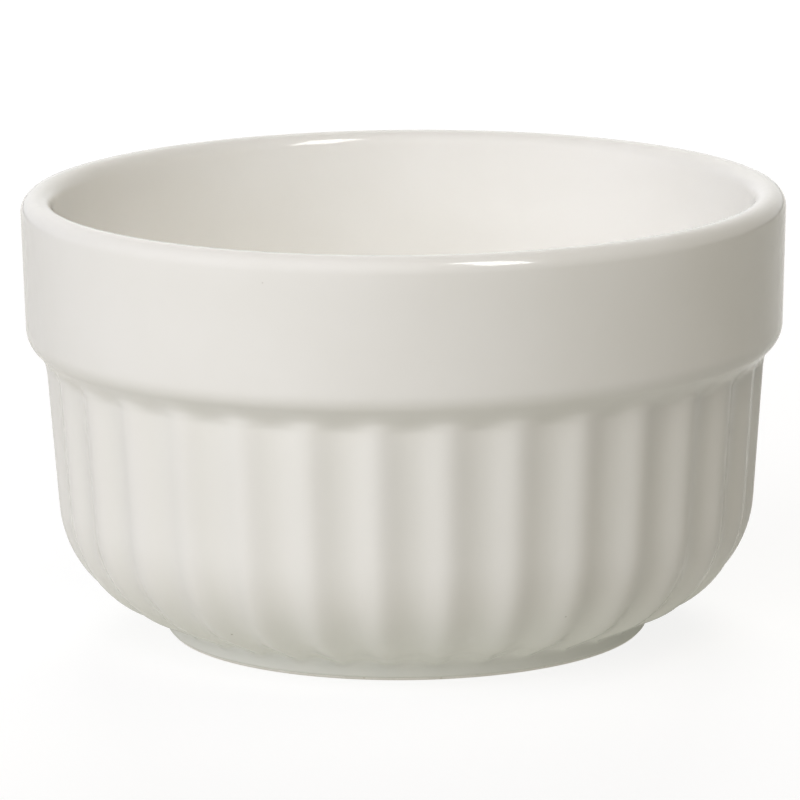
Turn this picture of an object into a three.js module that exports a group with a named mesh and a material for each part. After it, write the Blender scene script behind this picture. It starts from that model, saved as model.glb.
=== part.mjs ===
// A small fluted souffle dish: a pressed stoneware body fired under an off-white glaze.
// The glaze is one unbroken coat over the outside, the rim and the inside. The foot ring that the
// dish stands on is wiped bare before firing, so the glaze in the recess under the base is a patch by itself.
// Millimetres and degrees, +Z up. The origin is on the dish's axis, in the plane that it stands on.
import * as THREE from 'three';

// Outside of the glazed dish, measured over the ridges between the flutes.
const RIM_RADIUS = 50;
const DISH_HEIGHT = 58.3;
const FOOT_RADIUS = 31.7;
const FOOT_HEIGHT = 2.15;
const BELLY_LIFT = 0.6;
const BELLY_RADIUS = 16.4;
const WALL_DRAFT = 4.1;

// The plain collar that stands out over the fluted wall.
const COLLAR_HEIGHT = 20.8;
const COLLAR_OVERHANG = 2.3;
const COLLAR_DRAFT = 1.5;
const COLLAR_CORNER_ROUND = 3.5;
const NECK_FILLET = 5;
const RIM_ROUND = 2.1;

// The flutes: shallow hollows with slightly narrower rounded ridges between them.
const FLUTE_COUNT = 33;
const FLUTE_DEPTH = 0.78;
const RIDGE_NARROWING = 0.07;
const RIDGE_BEARING = 6.6;

// The inside, and the recess under the base.
const INNER_DRAFT = 7;
const INNER_BEND_RADIUS = 14;
const FLOOR_THICKNESS = 4.2;
const RECESS_DEPTH = 1.5;
const FOOT_RING_WIDTH = 3.6;
const FOOT_EDGE_ROUND = 0.5;

// The glaze: its thickness, how much more of it gathers in the flutes,
// and how much of the foot ring's upright wall is wiped bare above its rounded edges.
const GLAZE = 0.3;
const GLAZE_GATHERING = 0.1;
const BARE_FOOT_WALL = 0.2;

// Facets: sides of a plain ring, sides of one flute on the glaze and on the clay, and steps of each round.
// The rim's round has its steps twice, outside and inside its top.
const PLAIN_SIDES = 54;
const GLAZE_SIDES_PER_FLUTE = 6;
const CLAY_SIDES_PER_FLUTE = 4;
const BELLY_STEPS = 4;
const NECK_STEPS = 3;
const CORNER_STEPS = 2;
const RIM_STEPS = 3;
const INNER_BEND_STEPS = 4;
const FOOT_EDGE_STEPS = 2;

const GLAZE_FINISH = { color: 0xe8e5dc, roughness: 0.12, metalness: 0 };
const CLAY_FINISH = { color: 0xded6c9, roughness: 0.85, metalness: 0 };

const FLOOR_HEIGHT = RECESS_DEPTH + FLOOR_THICKNESS;
const GLAZE_STOP = FOOT_EDGE_ROUND + BARE_FOOT_WALL;
const FULL_TURN = 2 * Math.PI;
const radians = THREE.MathUtils.degToRad;

// Points of the section have x as the distance from the axis and y as the height.
function sectionPoint(radius, height) {
  return new THREE.Vector2(radius, height);
}

function direction(angle) {
  return new THREE.Vector2(Math.cos(angle), Math.sin(angle));
}

function along(start, heading, distance) {
  return start.clone().addScaledVector(heading, distance);
}

function atHeight(start, heading, height) {
  return along(start, heading, (height - start.y) / heading.y);
}

// A station is one point of the section: where it is, which way its surface faces,
// what share of the flutes' depth it has, and which way a flute sinks there.
function station(at, out, fluteShare = 0, sink = out.clone().negate()) {
  return { at, out, fluteShare, sink };
}

// Stations round an arc. A bulging arc faces away from its centre and a hollow one faces its centre.
function arcStations({ centre, radius, from, to, steps, hollow = false, fluteShare = () => 0, sink }) {
  const stations = [];
  for (let step = 0; step <= steps; step += 1) {
    const ray = direction(from + ((to - from) * step) / steps);
    const at = along(centre, ray, radius);
    const out = hollow ? ray.clone().negate() : ray;
    stations.push(station(at, out, fluteShare(at.y), sink));
  }
  return stations;
}

// The glazed outside and inside, from the foot over the rim to the edge of the flat floor.
function glazedSection() {
  const collarDraft = radians(COLLAR_DRAFT);
  const wallDraft = radians(WALL_DRAFT);
  const innerDraft = radians(INNER_DRAFT);
  const collarOut = direction(-collarDraft);
  const collarUp = direction(Math.PI / 2 - collarDraft);
  const wallOut = direction(-wallDraft);
  const wallUp = direction(Math.PI / 2 - wallDraft);
  const innerOut = direction(Math.PI - innerDraft);
  const innerUp = direction(Math.PI / 2 - innerDraft);
  const collarBottom = DISH_HEIGHT - COLLAR_HEIGHT;

  // Rim and collar: the collar's face is tangent to the rim's round and to the corner below it.
  const rimCentre = sectionPoint(RIM_RADIUS - RIM_ROUND, DISH_HEIGHT - RIM_ROUND);
  const cornerLine = along(rimCentre, collarOut, RIM_ROUND - COLLAR_CORNER_ROUND);
  const cornerCentre = atHeight(cornerLine, collarUp, collarBottom + COLLAR_CORNER_ROUND);
  const wallTop = sectionPoint(cornerCentre.x + COLLAR_CORNER_ROUND - COLLAR_OVERHANG, collarBottom);

  // Neck: a fillet that runs out of the wall and meets the collar's corner in one smooth double curve.
  const reach = NECK_FILLET + COLLAR_CORNER_ROUND;
  const neckLine = along(wallTop, wallOut, NECK_FILLET);
  const offset = neckLine.clone().sub(cornerCentre);
  const rise = offset.dot(wallUp);
  const drop = rise + Math.sqrt(rise * rise - offset.lengthSq() + reach * reach);
  const neckCentre = along(neckLine, wallUp, -drop);
  const neckToCorner = cornerCentre.clone().sub(neckCentre).angle();
  const neckStart = along(neckCentre, wallOut, -NECK_FILLET);
  const neckEnd = along(neckCentre, direction(neckToCorner), NECK_FILLET);

  // The flutes keep their depth up the wall and run out smoothly in the neck.
  const fluteShare = (height) => {
    const share = (height - neckStart.y) / (neckEnd.y - neckStart.y);
    return (1 + Math.cos(Math.PI * THREE.MathUtils.clamp(share, 0, 1))) / 2;
  };

  // Belly: a round that is tangent to the wall, and to the underside that slopes up from the foot.
  const bellyLine = along(wallTop, wallOut, -BELLY_RADIUS);
  const bellyCentre = atHeight(bellyLine, wallUp, FOOT_HEIGHT + BELLY_LIFT + BELLY_RADIUS);
  const footTop = sectionPoint(FOOT_RADIUS, FOOT_HEIGHT);
  const footToBelly = bellyCentre.clone().sub(footTop);
  const undersideSlope = footToBelly.angle() - Math.asin(BELLY_RADIUS / footToBelly.length());

  // Inside: the wall is tangent to the rim's round and to the bend into the flat floor.
  const innerLine = along(rimCentre, innerOut, RIM_ROUND + INNER_BEND_RADIUS);
  const innerCentre = atHeight(innerLine, innerUp, FLOOR_HEIGHT + INNER_BEND_RADIUS);

  // At the top of the foot ring the flutes end against its upright wall, so they sink straight up there.
  const footOut = direction(0);
  const footCorner = sectionPoint(1, (Math.sin(undersideSlope) - 1) / Math.cos(undersideSlope));
  const footSink = sectionPoint(0, 1 / Math.cos(undersideSlope));

  return [
    station(sectionPoint(FOOT_RADIUS, GLAZE_STOP), footOut),
    station(footTop, footCorner, 1, footSink),
    ...arcStations({
      centre: bellyCentre, radius: BELLY_RADIUS, steps: BELLY_STEPS, fluteShare,
      from: undersideSlope - Math.PI / 2, to: -wallDraft,
    }),
    ...arcStations({
      centre: neckCentre, radius: NECK_FILLET, steps: NECK_STEPS, hollow: true,
      from: Math.PI - wallDraft, to: neckToCorner, fluteShare, sink: wallOut.clone().negate(),
    }),
    ...arcStations({
      centre: cornerCentre, radius: COLLAR_CORNER_ROUND, steps: CORNER_STEPS,
      from: neckToCorner - Math.PI, to: -collarDraft,
    }).slice(1),
    ...arcStations({
      centre: rimCentre, radius: RIM_ROUND, steps: RIM_STEPS,
      from: -collarDraft, to: Math.PI / 2,
    }),
    ...arcStations({
      centre: rimCentre, radius: RIM_ROUND, steps: RIM_STEPS,
      from: Math.PI / 2, to: Math.PI - innerDraft,
    }).slice(1),
    ...arcStations({
      centre: innerCentre, radius: INNER_BEND_RADIUS, steps: INNER_BEND_STEPS, hollow: true,
      from: -innerDraft, to: -Math.PI / 2,
    }),
  ];
}

// The glazed recess under the base: the edge of its ceiling, then where the glaze stops on the foot ring.
function recessSection() {
  const recessRadius = FOOT_RADIUS - GLAZE - FOOT_RING_WIDTH - GLAZE;
  return [
    station(sectionPoint(recessRadius, RECESS_DEPTH), sectionPoint(-1, -1)),
    station(sectionPoint(recessRadius, GLAZE_STOP), direction(Math.PI)),
  ];
}

// How far down a flute the surface lies, from 0 on a ridge to 1 at the bottom of the flute.
function fluteHollow(turn) {
  const phase = FLUTE_COUNT * turn;
  return (1 - Math.cos(phase)) / 2 + (RIDGE_NARROWING * (1 - Math.cos(2 * phase))) / 2;
}

// A ring of points round the axis, with turns counted from the middle of a ridge.
function ring(sides, firstTurn, sectionAt) {
  const points = [];
  for (let side = 0; side < sides; side += 1) {
    const turn = firstTurn + (FULL_TURN * side) / sides;
    const at = sectionAt(turn);
    const bearing = turn + radians(RIDGE_BEARING);
    const place = new THREE.Vector3(at.x * Math.sin(bearing), -at.x * Math.cos(bearing), at.y);
    points.push({ turn, place });
  }
  return points;
}

function plainRing(at) {
  return ring(PLAIN_SIDES, 0, () => at);
}

function axisPoint(height) {
  return [{ turn: 0, place: new THREE.Vector3(0, 0, height) }];
}

// The ring of one station, set back by an inset. Flutes give their depth, their sides and their first turn.
function stationRing({ at, out, fluteShare, sink }, inset, flutes) {
  const base = along(at, out, -inset);
  if (fluteShare === 0) {
    return plainRing(base);
  }
  const sinkAt = (turn) => along(base, sink, flutes.depth * fluteShare * fluteHollow(turn));
  return ring(FLUTE_COUNT * flutes.sides, flutes.firstTurn, sinkAt);
}

function nextTurn(points, index) {
  if (points.length === 1 || index === points.length) {
    return Infinity;
  }
  return index + 1 === points.length ? points[0].turn + FULL_TURN : points[index + 1].turn;
}

// Triangles between two rings, stepping round whichever ring has the nearer next point.
function stitch(lower, upper, addTriangle) {
  let low = 0;
  let high = 0;
  while (nextTurn(lower, low) < Infinity || nextTurn(upper, high) < Infinity) {
    const lowPoint = lower[low % lower.length];
    const highPoint = upper[high % upper.length];
    if (nextTurn(lower, low) <= nextTurn(upper, high)) {
      low += 1;
      addTriangle(lowPoint, lower[low % lower.length], highPoint);
    } else {
      high += 1;
      addTriangle(lowPoint, upper[high % upper.length], highPoint);
    }
  }
}

// The triangles of a skin through rings that follow the section, with the solid on the left of its way.
function skin(rings) {
  const triangles = [];
  rings.slice(1).forEach((points, index) => {
    stitch(rings[index], points, (...corners) => triangles.push(corners));
  });
  return triangles;
}

// The same skin seen from its other side, for the piece that lies against it.
function otherSide(triangles) {
  return triangles.map((corners) => corners.toReversed());
}

function piece(name, finish, triangles) {
  const positions = [];
  const numbers = new Map();
  const numberOf = (point) => {
    if (!numbers.has(point)) {
      numbers.set(point, positions.length / 3);
      positions.push(...point.place.toArray());
    }
    return numbers.get(point);
  };
  const geometry = new THREE.BufferGeometry();
  geometry.setIndex(triangles.flat().map(numberOf));
  geometry.setAttribute('position', new THREE.Float32BufferAttribute(positions, 3));
  geometry.computeVertexNormals();
  const mesh = new THREE.Mesh(geometry, new THREE.MeshStandardMaterial(finish));
  mesh.name = name;
  return mesh;
}

// The bare foot ring between the two coats: its inner edge, the flat face that the dish stands on
// and its outer edge.
function footRings() {
  const outerCentre = sectionPoint(FOOT_RADIUS - GLAZE - FOOT_EDGE_ROUND, FOOT_EDGE_ROUND);
  const innerCentre = sectionPoint(outerCentre.x - FOOT_RING_WIDTH + 2 * FOOT_EDGE_ROUND, FOOT_EDGE_ROUND);
  const edge = { radius: FOOT_EDGE_ROUND, steps: FOOT_EDGE_STEPS };
  const innerEdge = arcStations({ ...edge, centre: innerCentre, from: -Math.PI, to: -Math.PI / 2 });
  const outerEdge = arcStations({ ...edge, centre: outerCentre, from: -Math.PI / 2, to: 0 });
  return [...innerEdge, ...outerEdge].map(({ at }) => plainRing(at));
}

// The clay's flutes have a flat side at the top of each ridge and at the bottom of each flute.
const glazeFlutes = { depth: FLUTE_DEPTH, sides: GLAZE_SIDES_PER_FLUTE, firstTurn: 0 };
const clayFlutes = {
  depth: FLUTE_DEPTH + GLAZE_GATHERING,
  sides: CLAY_SIDES_PER_FLUTE,
  firstTurn: FULL_TURN / (2 * FLUTE_COUNT * CLAY_SIDES_PER_FLUTE),
};

const glazed = glazedSection();
const glazeRings = [
  ...glazed.map((at) => stationRing(at, 0, glazeFlutes)),
  axisPoint(FLOOR_HEIGHT),
];
const clayRings = [
  ...glazed.map((at) => stationRing(at, GLAZE, clayFlutes)),
  axisPoint(FLOOR_HEIGHT - GLAZE),
];

const recess = recessSection();
const recessGlazeRings = [
  axisPoint(RECESS_DEPTH),
  ...recess.map((at) => stationRing(at, 0)),
];
const recessClayRings = [
  axisPoint(RECESS_DEPTH + GLAZE),
  ...recess.map((at) => stationRing(at, GLAZE)),
];

// Where glaze lies on clay, both pieces take the very same triangles, so they touch all over.
const claySkin = skin(clayRings);
const recessClaySkin = skin(recessClayRings);
const bareFoot = skin([recessClayRings.at(-1), ...footRings(), clayRings[0]]);
const glazeEdge = skin([clayRings[0], glazeRings[0]]);
const recessGlazeEdge = skin([recessGlazeRings.at(-1), recessClayRings.at(-1)]);

const souffleDish = new THREE.Group();
souffleDish.add(
  piece('stoneware_body', CLAY_FINISH, [...recessClaySkin, ...bareFoot, ...claySkin]),
  piece('glaze_coat', GLAZE_FINISH, [...skin(glazeRings), ...otherSide(claySkin), ...glazeEdge]),
  piece('base_glaze', GLAZE_FINISH, [
    ...skin(recessGlazeRings),
    ...recessGlazeEdge,
    ...otherSide(recessClaySkin),
  ]),
);

export default souffleDish;
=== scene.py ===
import math

import bmesh
import bpy
from mathutils import Matrix, Vector


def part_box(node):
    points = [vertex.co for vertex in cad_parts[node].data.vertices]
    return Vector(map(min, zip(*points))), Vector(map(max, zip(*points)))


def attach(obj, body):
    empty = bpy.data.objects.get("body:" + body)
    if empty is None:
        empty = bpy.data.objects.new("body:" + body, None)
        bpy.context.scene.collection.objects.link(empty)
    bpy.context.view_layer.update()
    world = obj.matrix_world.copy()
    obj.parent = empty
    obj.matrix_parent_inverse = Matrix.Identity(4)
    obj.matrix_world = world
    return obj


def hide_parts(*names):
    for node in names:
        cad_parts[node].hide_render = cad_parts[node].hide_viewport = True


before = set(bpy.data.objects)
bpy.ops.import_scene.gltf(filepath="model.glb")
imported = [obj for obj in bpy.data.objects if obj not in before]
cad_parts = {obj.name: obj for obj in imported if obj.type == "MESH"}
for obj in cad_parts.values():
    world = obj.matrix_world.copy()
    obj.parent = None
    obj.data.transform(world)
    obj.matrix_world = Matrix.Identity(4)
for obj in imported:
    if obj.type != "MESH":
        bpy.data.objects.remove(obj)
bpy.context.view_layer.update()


# The clay body: pale stoneware, pressed into a fluted mould, trimmed and fired once.
# It is the dish itself, from foot ring to rim. Glaze hides it all over, apart from
# the flat of the foot ring, which is wiped bare so that the dish doesn't stick in the kiln.
MM = 0.001

glaze_thickness = 0.3 * MM
dish_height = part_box("glaze_coat")[1].z

# Rim, collar and the fillet in the neck under the collar, in which the flutes run out.
rim_radius = 50.0 * MM
rim_round = 2.1 * MM
rim_centre = Vector((rim_radius - rim_round, dish_height - rim_round))
collar_lean = math.radians(-1.5)
collar_height = 20.8 * MM
collar_bottom = dish_height - collar_height
collar_corner_round = 3.5 * MM
collar_overhang = 2.3 * MM
neck_fillet = 5.0 * MM

# Fluted wall, belly and underside. Glaze gathers in the flutes, so those in the clay are deeper.
wall_lean = math.radians(-4.1)
belly_round = 16.4 * MM
foot_radius = 31.7 * MM
foot_top = 2.15 * MM
belly_lift = 0.6 * MM
foot_fillet = 1.0 * MM
flute_count = 33
first_ridge = math.radians(6.6)
ridge_narrowing = 0.07
flute_depth = 0.78 * MM
glaze_gathering = 0.1 * MM

# Hollow of the dish, foot ring and the recess under the floor.
inner_lean = math.radians(173.0)
inner_bend = 14.0 * MM
floor_top = 5.7 * MM
foot_edge_round = 0.5 * MM
foot_ring_inner = 27.8 * MM
recess_ceiling = 1.8 * MM


def facing(lean):
    """The direction that a line of the section faces, as (outwards, upwards)."""
    return Vector((math.cos(lean), math.sin(lean)))


# Middles of the roundings, found from the lines that run into them.
collar_face = facing(collar_lean)
corner_height = collar_bottom + collar_corner_round
corner_centre = Vector((
    (collar_face.dot(rim_centre) + rim_round - collar_corner_round
     - collar_face.y * corner_height) / collar_face.x,
    corner_height,
))
wall_face = facing(wall_lean)
wall_run = Vector((-wall_face.y, wall_face.x))
wall_reach = wall_face.dot(Vector((
    corner_centre.x + collar_corner_round - collar_overhang, collar_bottom)))
neck_reach = wall_reach + neck_fillet
neck_side = wall_face.dot(corner_centre) - neck_reach
neck_centre = wall_face * neck_reach + wall_run * (
    wall_run.dot(corner_centre)
    - math.sqrt((neck_fillet + collar_corner_round) ** 2 - neck_side ** 2))
neck_to_corner = math.atan2(*(corner_centre - neck_centre).yx)
belly_height = foot_top + belly_lift + belly_round
belly_centre = Vector((
    (wall_reach - belly_round - wall_face.y * belly_height) / wall_face.x,
    belly_height,
))
foot_corner = Vector((foot_radius, foot_top))
to_belly = belly_centre - foot_corner
underside_slope = math.atan2(to_belly.y, to_belly.x) - math.asin(
    belly_round / to_belly.length)
underside_face = facing(underside_slope - math.pi / 2)
belly_edge = belly_centre + underside_face * belly_round
foot_fillet_radius = foot_radius + foot_fillet
foot_fillet_centre = Vector((
    foot_fillet_radius,
    (underside_face.x * foot_fillet_radius - underside_face.dot(foot_corner)
     - foot_fillet) / -underside_face.y,
))
inner_face = facing(inner_lean)
bend_height = floor_top + inner_bend
bend_centre = Vector((
    (inner_face.dot(rim_centre) + rim_round + inner_bend
     - inner_face.y * bend_height) / inner_face.x,
    bend_height,
))


# Height below which the flutes grow shallow, and the share of their depth that is left at the foot;
# heights between which the ridges end in round shoulders, and how far they drop there;
# heights between which the flutes run out in the neck.
foot_shallows = 9.0 * MM
foot_flute_share = 0.65
ridge_end_low = 35.9 * MM
ridge_end_high = 37.3 * MM
ridge_end_drop = 0.3
runout_start = (neck_centre - wall_face * neck_fillet).y
runout_end = (neck_centre + facing(neck_to_corner) * neck_fillet).y

# The strip of wall just under the neck, which is stepped more finely; a breadth too small to see,
# for telling which side of a corner a point is on; and how near points are that become one.
neck_strip = 2.0 * MM
hair = 0.01 * MM
weld = 0.001 * MM


def ease(part):
    """Runs smoothly from 0 to 1 as part does, and stays there beyond them."""
    return 0.5 - 0.5 * math.cos(math.pi * min(max(part, 0), 1))


def start_section():
    """An empty section, with layers for how deep the flutes are at each point."""
    section = bmesh.new()
    for layer in ("flute_share", "flute_hollow"):
        section.verts.layers.float.new(layer)
    return section


def draw_line(section, tip, radius, height, steps=1):
    """Draws the section on from its tip in a straight line."""
    step = (Vector((radius, 0, height)) - tip.co) / steps
    for _ in range(steps):
        tip = bmesh.ops.extrude_vert_indiv(section, verts=[tip])["verts"][0]
        bmesh.ops.translate(section, vec=step, verts=[tip])
    return tip


def draw_round(section, tip, centre, angle, steps):
    """Draws the section on from its tip round a centre, turning left if angle is positive."""
    spun = bmesh.ops.spin(
        section, geom=[tip], cent=(centre.x, 0, centre.y), axis=(0, -1, 0),
        angle=angle, steps=steps)
    return next(v for v in spun["geom_last"] if isinstance(v, bmesh.types.BMVert))


def draw_wall(section, tip, under, fine):
    """Draws from the foot up over the rim and down to the middle of the floor.
    under is how far below the glaze the line lies, and fine how finely it is stepped."""
    first_point = len(section.verts)

    # Up the foot, round the soft corner above it, and out along the underside.
    tip = draw_line(section, tip, foot_radius - under, foot_fillet_centre.y, steps=fine)
    tip = draw_round(section, tip, foot_fillet_centre,
                     underside_slope - math.pi / 2, steps=3 * fine)
    tip = draw_line(section, tip, *(belly_edge - underside_face * under), steps=3 * fine)

    # Round the belly, up the wall and round the neck.
    tip = draw_round(section, tip, belly_centre,
                     wall_lean - underside_slope + math.pi / 2, steps=8 * fine)
    wall_top = neck_centre - wall_face * (neck_fillet + under)
    tip = draw_line(section, tip, *(wall_top - wall_run * neck_strip), steps=6 * fine)
    tip = draw_line(section, tip, *wall_top, steps=3 * fine)
    tip = draw_round(section, tip, neck_centre,
                     neck_to_corner - wall_lean - math.pi, steps=8 * fine)

    # The flutes are at full depth on the wall, run out in the neck and grow shallow at the foot.
    share = section.verts.layers.float["flute_share"]
    section.verts.ensure_lookup_table()
    for point in section.verts[first_point:]:
        if point.co.z < foot_fillet_centre.y - hair:
            continue
        runout = (point.co.z - runout_start) / (runout_end - runout_start)
        above_foot = (point.co.z - foot_top) / (foot_shallows - foot_top)
        point[share] = 1 - ease(runout)
        point[share] *= foot_flute_share + (1 - foot_flute_share) * min(max(above_foot, 0), 1)

    # Round the collar's lower corner, up its face, over the rim and down inside.
    tip = draw_round(section, tip, corner_centre,
                     collar_lean - neck_to_corner + math.pi, steps=4 * fine)
    collar_top = rim_centre + collar_face * (rim_round - under)
    tip = draw_line(section, tip, *collar_top, steps=3 * fine)
    tip = draw_round(section, tip, rim_centre, inner_lean - collar_lean, steps=8 * fine)
    bend_start = bend_centre - inner_face * (inner_bend + under)
    tip = draw_line(section, tip, *bend_start, steps=5 * fine)
    tip = draw_round(section, tip, bend_centre, math.pi / 2 - inner_lean, steps=6 * fine)
    return draw_line(section, tip, 0, floor_top - under, steps=3 * fine)


def turn_on_wheel(section, sides):
    """Spins the section round the dish's axis into a closed, outward-facing skin."""
    bmesh.ops.spin(
        section, geom=section.verts[:] + section.edges[:], cent=(0, 0, 0),
        axis=(0, 0, 1), angle=2 * math.pi, steps=sides, use_merge=True)
    bmesh.ops.remove_doubles(section, verts=section.verts, dist=weld)
    bmesh.ops.recalc_face_normals(section, faces=section.faces)
    section.normal_update()


def press_flutes(body, depth):
    """Sinks the flutes square to the wall and the belly, and straight up above the foot.
    At the top each ridge drops over a round shoulder into the neck."""
    share = body.verts.layers.float["flute_share"]
    hollow = body.verts.layers.float["flute_hollow"]
    for point in body.verts:
        if not point[share]:
            continue
        turn = flute_count * (math.atan2(point.co.x, -point.co.y) - first_ridge)
        across = 0.5 - 0.5 * math.cos(turn) + ridge_narrowing * (0.5 - 0.5 * math.cos(2 * turn))
        ridge_end = (point.co.z - ridge_end_low) / (ridge_end_high - ridge_end_low)
        shoulder = ridge_end_drop * ease(ridge_end)
        point[hollow] = point[share] * (across + (1 - across) * shoulder)
        sink = depth * point[hollow]
        outwards = Vector((point.co.x, point.co.y, 0)).normalized()
        seat = Vector((point.co.xy.length, point.co.z)) - belly_centre
        if seat.x < belly_edge.x - belly_centre.x - hair:
            point.co.z += sink / math.cos(underside_slope)
        else:
            face = facing(min(math.atan2(seat.y, seat.x), wall_lean))
            point.co -= sink * (outwards * face.x + Vector((0, 0, face.y)))
    body.normal_update()


def make_piece(name, body, material):
    """Puts a finished body into the scene, smooth, in the dish's own place."""
    mesh = bpy.data.meshes.new(name)
    body.to_mesh(mesh)
    body.free()
    mesh.shade_smooth()
    mesh.materials.append(material)
    piece = bpy.data.objects.new(name, mesh)
    bpy.context.scene.collection.objects.link(piece)
    return piece


def add_node(material, kind, **settings):
    """Adds a node to a material and sets what is named: properties, or inputs by name."""
    node = material.node_tree.nodes.new(kind)
    for name, value in settings.items():
        if hasattr(node, name):
            setattr(node, name, value)
        else:
            node.inputs[name.replace("_", " ")].default_value = value
    return node


# Bare clay is matt, a little sandy to the touch and speckled with fine dark grains.
bare_clay = bpy.data.materials.new("bare_clay")
bare_clay.use_nodes = True
clay_links = bare_clay.node_tree.links
clay_shader = bare_clay.node_tree.nodes["Principled BSDF"]
clay_shader.inputs["Specular IOR Level"].default_value = 0.3
clay_place = add_node(bare_clay, "ShaderNodeTexCoord")
clay_tone = add_node(bare_clay, "ShaderNodeTexNoise", Scale=420.0, Detail=5.0)
clay_colours = add_node(bare_clay, "ShaderNodeValToRGB")
clay_colours.color_ramp.elements[0].position = 0.3
clay_colours.color_ramp.elements[0].color = (0.80, 0.785, 0.74, 1)
clay_colours.color_ramp.elements[1].position = 0.7
clay_colours.color_ramp.elements[1].color = (0.86, 0.85, 0.81, 1)
clay_grain = add_node(bare_clay, "ShaderNodeTexVoronoi", Scale=900.0)
clay_grain_size = add_node(bare_clay, "ShaderNodeMapRange", interpolation_type="SMOOTHSTEP")
clay_grain_size.inputs["From Min"].default_value = 0.10
clay_grain_size.inputs["From Max"].default_value = 0.22
clay_grain_size.inputs["To Min"].default_value = 0.55
clay_grain_size.inputs["To Max"].default_value = 0.0
clay_mix = add_node(bare_clay, "ShaderNodeMix", data_type="RGBA")
clay_mix.inputs["B"].default_value = (0.60, 0.56, 0.49, 1)
clay_roughness = add_node(bare_clay, "ShaderNodeMapRange")
clay_roughness.inputs["To Min"].default_value = 0.78
clay_roughness.inputs["To Max"].default_value = 0.95
clay_sand = add_node(bare_clay, "ShaderNodeTexNoise", Scale=2600.0, Detail=3.0)
clay_bump = add_node(bare_clay, "ShaderNodeBump", Strength=0.6, Distance=0.00012)
clay_links.new(clay_place.outputs["Object"], clay_tone.inputs["Vector"])
clay_links.new(clay_place.outputs["Object"], clay_grain.inputs["Vector"])
clay_links.new(clay_place.outputs["Object"], clay_sand.inputs["Vector"])
clay_links.new(clay_tone.outputs["Fac"], clay_colours.inputs["Fac"])
clay_links.new(clay_grain.outputs["Distance"], clay_grain_size.inputs["Value"])
clay_links.new(clay_grain_size.outputs["Result"], clay_mix.inputs["Factor"])
clay_links.new(clay_colours.outputs["Color"], clay_mix.inputs["A"])
clay_links.new(clay_mix.outputs["Result"], clay_shader.inputs["Base Color"])
clay_links.new(clay_tone.outputs["Fac"], clay_roughness.inputs["Value"])
clay_links.new(clay_roughness.outputs["Result"], clay_shader.inputs["Roughness"])
clay_links.new(clay_sand.outputs["Fac"], clay_bump.inputs["Height"])
clay_links.new(clay_bump.outputs["Normal"], clay_shader.inputs["Normal"])

# From the middle of the recess down round the foot ring, then up the wall under the glaze.
clay = start_section()
clay_foot_outer = foot_radius - glaze_thickness
clay_tip = clay.verts.new((0, 0, recess_ceiling))
clay_tip = draw_line(clay, clay_tip, foot_ring_inner, recess_ceiling, steps=4)
clay_tip = draw_line(clay, clay_tip, foot_ring_inner, foot_edge_round, steps=2)
clay_tip = draw_round(clay, clay_tip,
                      Vector((foot_ring_inner + foot_edge_round, foot_edge_round)),
                      math.pi / 2, steps=5)
clay_tip = draw_line(clay, clay_tip, clay_foot_outer - foot_edge_round, 0, steps=3)
clay_tip = draw_round(clay, clay_tip,
                      Vector((clay_foot_outer - foot_edge_round, foot_edge_round)),
                      math.pi / 2, steps=5)
draw_wall(clay, clay_tip, under=glaze_thickness, fine=1)
turn_on_wheel(clay, sides=flute_count * 8)
press_flutes(clay, flute_depth + glaze_gathering)
clay_body = make_piece("clay_body", clay, bare_clay)
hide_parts("stoneware_body")
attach(clay_body, "root")


# The glaze coat: an off-white glossy glass fired onto the clay, about 0.3 mm thick.
# The dish is dipped, so the coat runs unbroken down the outside, over the rim and over
# the inside, pools in the flutes, and ends in a soft rolled edge just above the wiped foot.
glaze_edge_height = 0.45 * MM

# Off-white glass: thin and paler on the ridges, fuller and creamier where it pools, with a faint
# cloudiness, a few iron specks and a skin not quite flat. Low down it carries painted shade: greener
# on the belly and underside below 14 mm, and darker on the foot band next to the table.
off_white_glaze = bpy.data.materials.new("off_white_glaze")
off_white_glaze.use_nodes = True
glaze_links = off_white_glaze.node_tree.links
glaze_shader = off_white_glaze.node_tree.nodes["Principled BSDF"]
glaze_shader.inputs["IOR"].default_value = 1.5
glaze_shader.inputs["Specular IOR Level"].default_value = 0.3
glaze_place = add_node(off_white_glaze, "ShaderNodeTexCoord")
glaze_cloud = add_node(off_white_glaze, "ShaderNodeTexNoise", Scale=70.0, Detail=3.0)
glaze_colours = add_node(off_white_glaze, "ShaderNodeValToRGB")
glaze_colours.color_ramp.elements[0].position = 0.3
glaze_colours.color_ramp.elements[0].color = (0.915, 0.905, 0.870, 1)
glaze_colours.color_ramp.elements[1].position = 0.7
glaze_colours.color_ramp.elements[1].color = (0.935, 0.926, 0.897, 1)
glaze_pool = add_node(off_white_glaze, "ShaderNodeAttribute", attribute_name="flute_hollow")
glaze_pool_depth = add_node(off_white_glaze, "ShaderNodeMapRange")
glaze_pool_depth.inputs["To Max"].default_value = 0.5
glaze_pooled = add_node(off_white_glaze, "ShaderNodeMix", data_type="RGBA")
glaze_pooled.inputs["B"].default_value = (0.900, 0.892, 0.848, 1)
# Painted shade near the table: greener below 14 mm, and darker on the foot band below about 2 mm.
glaze_height = add_node(off_white_glaze, "ShaderNodeSeparateXYZ")
foot_shade_height = add_node(off_white_glaze, "ShaderNodeMapRange")
foot_shade_height.inputs["From Max"].default_value = 14.0 * MM
painted_foot_shade = add_node(off_white_glaze, "ShaderNodeValToRGB")
painted_foot_shade.color_ramp.interpolation = "EASE"
painted_foot_shade.color_ramp.elements[0].position = 0.12
painted_foot_shade.color_ramp.elements[0].color = (0.78, 0.79, 0.75, 1)
painted_foot_shade.color_ramp.elements[1].position = 1.0
painted_foot_shade.color_ramp.elements[1].color = (0.905, 0.914, 0.878, 0)
painted_foot_shade_top = painted_foot_shade.color_ramp.elements.new(0.2)
painted_foot_shade_top.color = (0.905, 0.914, 0.878, 1)
glaze_foot_shaded = add_node(off_white_glaze, "ShaderNodeMix", data_type="RGBA")
glaze_speck = add_node(off_white_glaze, "ShaderNodeTexVoronoi", Scale=120.0)
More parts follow.
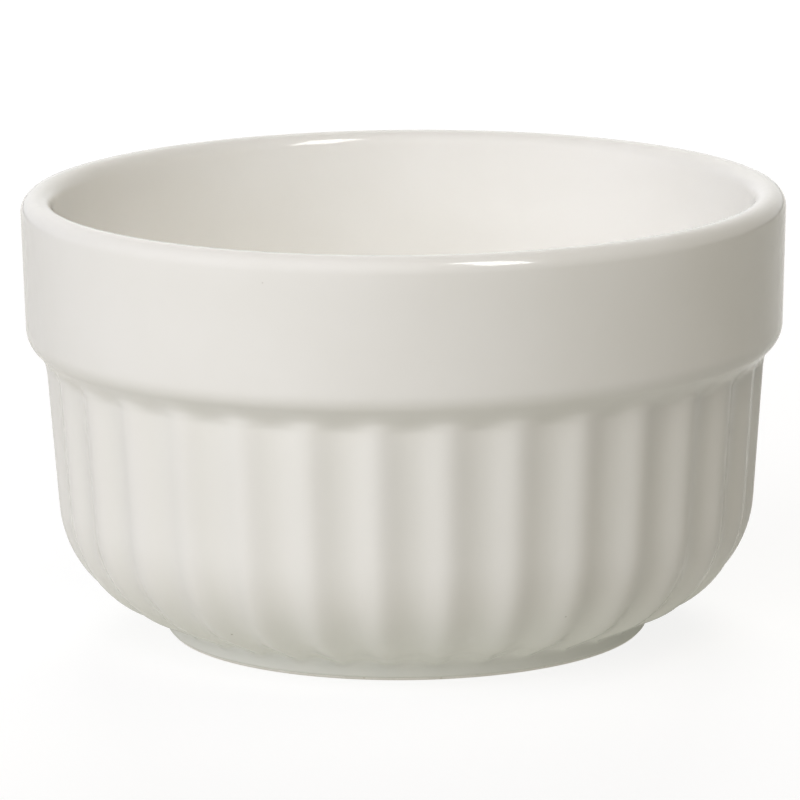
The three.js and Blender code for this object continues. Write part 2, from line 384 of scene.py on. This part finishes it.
glaze_speck_size = add_node(off_white_glaze, "ShaderNodeMapRange", interpolation_type="SMOOTHSTEP")
glaze_speck_size.inputs["From Min"].default_value = 0.010
glaze_speck_size.inputs["From Max"].default_value = 0.026
glaze_speck_size.inputs["To Min"].default_value = 0.45
glaze_speck_size.inputs["To Max"].default_value = 0.0
glaze_specked = add_node(off_white_glaze, "ShaderNodeMix", data_type="RGBA")
glaze_specked.inputs["B"].default_value = (0.27, 0.23, 0.17, 1)
glaze_roughness = add_node(off_white_glaze, "ShaderNodeMapRange")
glaze_roughness.inputs["To Min"].default_value = 0.06
glaze_roughness.inputs["To Max"].default_value = 0.12
glaze_wave = add_node(off_white_glaze, "ShaderNodeTexNoise", Scale=260.0, Detail=2.0)
glaze_bump = add_node(off_white_glaze, "ShaderNodeBump", Strength=0.5, Distance=0.00006)
for glaze_pattern in (glaze_cloud, glaze_speck, glaze_wave):
    glaze_links.new(glaze_place.outputs["Object"], glaze_pattern.inputs["Vector"])
glaze_links.new(glaze_cloud.outputs["Fac"], glaze_colours.inputs["Fac"])
glaze_links.new(glaze_pool.outputs["Fac"], glaze_pool_depth.inputs["Value"])
glaze_links.new(glaze_pool_depth.outputs["Result"], glaze_pooled.inputs["Factor"])
glaze_links.new(glaze_colours.outputs["Color"], glaze_pooled.inputs["A"])
glaze_links.new(glaze_speck.outputs["Distance"], glaze_speck_size.inputs["Value"])
glaze_links.new(glaze_speck_size.outputs["Result"], glaze_specked.inputs["Factor"])
glaze_links.new(glaze_place.outputs["Object"], glaze_height.inputs["Vector"])
glaze_links.new(glaze_height.outputs["Z"], foot_shade_height.inputs["Value"])
glaze_links.new(foot_shade_height.outputs["Result"], painted_foot_shade.inputs["Fac"])
glaze_links.new(painted_foot_shade.outputs["Alpha"], glaze_foot_shaded.inputs["Factor"])
glaze_links.new(painted_foot_shade.outputs["Color"], glaze_foot_shaded.inputs["B"])
glaze_links.new(glaze_pooled.outputs["Result"], glaze_foot_shaded.inputs["A"])
glaze_links.new(glaze_foot_shaded.outputs["Result"], glaze_specked.inputs["A"])
glaze_links.new(glaze_specked.outputs["Result"], glaze_shader.inputs["Base Color"])
glaze_links.new(glaze_cloud.outputs["Fac"], glaze_roughness.inputs["Value"])
glaze_links.new(glaze_roughness.outputs["Result"], glaze_shader.inputs["Roughness"])
glaze_links.new(glaze_wave.outputs["Fac"], glaze_bump.inputs["Height"])
glaze_links.new(glaze_bump.outputs["Normal"], glaze_shader.inputs["Normal"])

# The outer skin starts with the rolled edge on the foot; the side on the clay starts there too.
glaze = start_section()
glaze_edge = glaze.verts.new((foot_radius - glaze_thickness, 0, glaze_edge_height))
glaze_tip = draw_round(glaze, glaze_edge,
                       Vector((foot_radius - glaze_thickness,
                               glaze_edge_height + glaze_thickness)),
                       math.pi / 2, steps=4)
draw_wall(glaze, glaze_tip, under=0, fine=2)
draw_wall(glaze, glaze_edge, under=glaze_thickness, fine=1)
turn_on_wheel(glaze, sides=flute_count * 16)
press_flutes(glaze, flute_depth)

glaze_skin = make_piece("glaze_skin", glaze, off_white_glaze)
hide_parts("glaze_coat")
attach(glaze_skin, "root")


# The glaze in the recess: a separate round patch of the same glaze under the floor.
# It is poured into the shallow recess inside the foot ring, climbs a little way up the
# ring's inner wall, and is cut off from the rest of the coat by the wiped foot ring.
recess_edge_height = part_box("base_glaze")[0].z
recess_glaze_fillet = 0.5 * MM

recess = start_section()
recess_edge = recess.verts.new((foot_ring_inner, 0, recess_edge_height))
recess_tip = draw_round(recess, recess_edge,
                        Vector((foot_ring_inner, recess_edge_height + glaze_thickness)),
                        -math.pi / 2, steps=4)
recess_face = recess_ceiling - glaze_thickness
recess_tip = draw_line(recess, recess_tip, foot_ring_inner - glaze_thickness,
                       recess_face - recess_glaze_fillet, steps=2)
recess_tip = draw_round(recess, recess_tip,
                        Vector((foot_ring_inner - glaze_thickness - recess_glaze_fillet,
                                recess_face - recess_glaze_fillet)),
                        math.pi / 2, steps=5)
draw_line(recess, recess_tip, 0, recess_face, steps=6)
recess_tip = draw_line(recess, recess_edge, foot_ring_inner, recess_ceiling)
draw_line(recess, recess_tip, 0, recess_ceiling, steps=2)
turn_on_wheel(recess, sides=128)
recess_glaze = make_piece("recess_glaze", recess, off_white_glaze)
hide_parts("base_glaze")
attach(recess_glaze, "root")


# The studio: a table of white acrylic, lit from below, that keeps the dish's soft shadow.
# Soft boxes stand at the left, the front left and the front, a warm one hangs high at the right,
# one behind the dish lights its hollow, and a small bright one leaves the glints on the rim.
table_white = bpy.data.materials.new("table_white")
table_white.use_nodes = True
table_links = table_white.node_tree.links
table_white.node_tree.nodes.remove(table_white.node_tree.nodes["Principled BSDF"])
table_end = table_white.node_tree.nodes["Material Output"]
table_ray = add_node(table_white, "ShaderNodeLightPath")

# What the table throws up at the dish: a warm white, stronger at the left and close by the foot.
table_fill = add_node(table_white, "ShaderNodeEmission", Color=(1, 0.975, 0.86, 1))
table_place = add_node(table_white, "ShaderNodeTexCoord")
table_across = add_node(table_white, "ShaderNodeSeparateXYZ")
table_fall_off = add_node(table_white, "ShaderNodeMapRange", interpolation_type="SMOOTHSTEP")
table_fall_off.inputs["From Min"].default_value = -0.1
table_fall_off.inputs["From Max"].default_value = 0.1
table_fall_off.inputs["To Min"].default_value = 0.53
table_fall_off.inputs["To Max"].default_value = 0.4
table_reach = add_node(table_white, "ShaderNodeVectorMath", operation="LENGTH")
table_by_foot = add_node(table_white, "ShaderNodeMapRange", interpolation_type="SMOOTHSTEP")
table_by_foot.inputs["From Min"].default_value = 0.035
table_by_foot.inputs["From Max"].default_value = 0.065
table_by_foot.inputs["To Min"].default_value = 0.08
table_by_foot.inputs["To Max"].default_value = 0.0
table_level = add_node(table_white, "ShaderNodeMath", operation="ADD")
table_links.new(table_place.outputs["Object"], table_across.inputs["Vector"])
table_links.new(table_across.outputs["X"], table_fall_off.inputs["Value"])
table_links.new(table_place.outputs["Object"], table_reach.inputs[0])
table_links.new(table_reach.outputs["Value"], table_by_foot.inputs["Value"])
table_links.new(table_fall_off.outputs["Result"], table_level.inputs[0])
table_links.new(table_by_foot.outputs["Result"], table_level.inputs[1])
table_links.new(table_level.outputs[0], table_fill.inputs["Strength"])

# What the glaze mirrors of the table: its plain white, as the soft boxes light it.
table_mirrored = add_node(table_white, "ShaderNodeBsdfDiffuse", Color=(0.9, 0.9, 0.88, 1))
table_lit = add_node(table_white, "ShaderNodeMixShader")
table_links.new(table_ray.outputs["Is Glossy Ray"], table_lit.inputs["Fac"])
table_links.new(table_fill.outputs[0], table_lit.inputs[1])
table_links.new(table_mirrored.outputs[0], table_lit.inputs[2])

# What the camera sees of the table: a bright glow, and a little shade under the dish.
table_glow = add_node(table_white, "ShaderNodeEmission", Color=(1, 1, 1, 1), Strength=0.8)
table_shade = add_node(table_white, "ShaderNodeBsdfDiffuse", Color=(0.25, 0.25, 0.25, 1))
table_seen = add_node(table_white, "ShaderNodeAddShader")
table_ray_clear = add_node(table_white, "ShaderNodeMath", operation="MAXIMUM")
table_mix = add_node(table_white, "ShaderNodeMixShader")
table_links.new(table_glow.outputs[0], table_seen.inputs[0])
table_links.new(table_shade.outputs[0], table_seen.inputs[1])
table_links.new(table_ray.outputs["Is Camera Ray"], table_ray_clear.inputs[0])
table_links.new(table_ray.outputs["Is Transmission Ray"], table_ray_clear.inputs[1])
table_links.new(table_ray_clear.outputs[0], table_mix.inputs["Fac"])
table_links.new(table_lit.outputs[0], table_mix.inputs[1])
table_links.new(table_seen.outputs[0], table_mix.inputs[2])
table_links.new(table_mix.outputs[0], table_end.inputs["Surface"])

table_disc = bmesh.new()
bmesh.ops.create_circle(table_disc, cap_ends=True, segments=96, radius=2.5)
table_mesh = bpy.data.meshes.new("table")
table_disc.to_mesh(table_mesh)
table_disc.free()
table_mesh.materials.append(table_white)
table = bpy.data.objects.new("table", table_mesh)
bpy.context.scene.collection.objects.link(table)

# The room is white to the camera and in the glaze, and gives no light of its own.
room = bpy.data.worlds.new("room")
room.use_nodes = True
bpy.context.scene.world = room
room_links = room.node_tree.links
room_white = room.node_tree.nodes["Background"]
room_white.inputs["Color"].default_value = (1, 1, 1, 1)
room_ray = add_node(room, "ShaderNodeLightPath")
room_ray_glossy = add_node(room, "ShaderNodeMath", operation="MAXIMUM")
room_ray_clear = add_node(room, "ShaderNodeMath", operation="MAXIMUM")
room_links.new(room_ray.outputs["Is Camera Ray"], room_ray_glossy.inputs[0])
room_links.new(room_ray.outputs["Is Glossy Ray"], room_ray_glossy.inputs[1])
room_links.new(room_ray_glossy.outputs[0], room_ray_clear.inputs[0])
room_links.new(room_ray.outputs["Is Transmission Ray"], room_ray_clear.inputs[1])
room_links.new(room_ray_clear.outputs[0], room_white.inputs["Strength"])

# The place in the dish that the boxes and the camera are turned to.
dish_middle = Vector((0, 0, 28.0 * MM))


def hang_soft_box(name, bearing, elevation, watts, colour, distance=1.2, width=0.6, height=0.6):
    """Hangs a soft box that faces the dish, at a bearing in degrees from its front to the right.
    Its own reflection is left out, because the room's white stands for it."""
    lamp = bpy.data.lights.new(name, "AREA")
    lamp.shape = "RECTANGLE"
    lamp.size = width
    lamp.size_y = height
    lamp.energy = watts
    lamp.color = colour
    box = bpy.data.objects.new(name, lamp)
    turn = math.radians(bearing)
    rise = math.radians(elevation)
    away = Vector((math.cos(rise) * math.sin(turn), -math.cos(rise) * math.cos(turn), math.sin(rise)))
    box.matrix_world = (Matrix.Translation(dish_middle + away * distance)
                        @ away.to_track_quat("Z", "Y").to_matrix().to_4x4())
    box.visible_glossy = False
    bpy.context.scene.collection.objects.link(box)
    return box


hang_soft_box("left_box", -70, 24, 4.9, (1.0, 0.96, 1.0), width=0.9)
hang_soft_box("front_left_box", -30, 33, 4.0, (0.82, 0.90, 1.0), height=1.2)
hang_soft_box("front_box", 0, 34, 5.0, (1.0, 0.92, 0.84), height=0.9)
hang_soft_box("right_high_box", 90, 68, 2.3, (1.0, 0.94, 0.75))
hang_soft_box("back_box", 180, 30, 8.8, (1.0, 0.99, 0.98))

# The small bright box shows only as its reflection in the glaze.
glint_box = hang_soft_box("small_bright_box", 34, 50, 14.0, (1.0, 1.0, 1.0),
                          distance=1.5, width=0.36, height=0.8)
glint_box.visible_glossy = True
glint_box.visible_diffuse = False

# The camera stands low in front of the dish, far off with a long lens, hardly turned.
camera_elevation = math.radians(11.91)
camera_distance = 821.2 * MM
camera_roll = math.radians(-0.525)
camera_lens = bpy.data.cameras.new("camera")
camera_lens.sensor_fit = "HORIZONTAL"
camera_lens.sensor_width = 36.0
camera_lens.lens = 280.5
camera_lens.shift_x = -0.0064
camera_lens.shift_y = 0.0198
camera_lens.clip_start = 0.01
camera = bpy.data.objects.new("camera", camera_lens)
camera.matrix_world = (
    Matrix.Translation(dish_middle + camera_distance * Vector((
        0, -math.cos(camera_elevation), math.sin(camera_elevation))))
    @ Matrix.Rotation(math.pi / 2 - camera_elevation, 4, "X")
    @ Matrix.Rotation(camera_roll, 4, "Z"))
bpy.context.scene.collection.objects.link(camera)
bpy.context.scene.camera = camera
bpy.context.scene.view_settings.view_transform = "Standard"
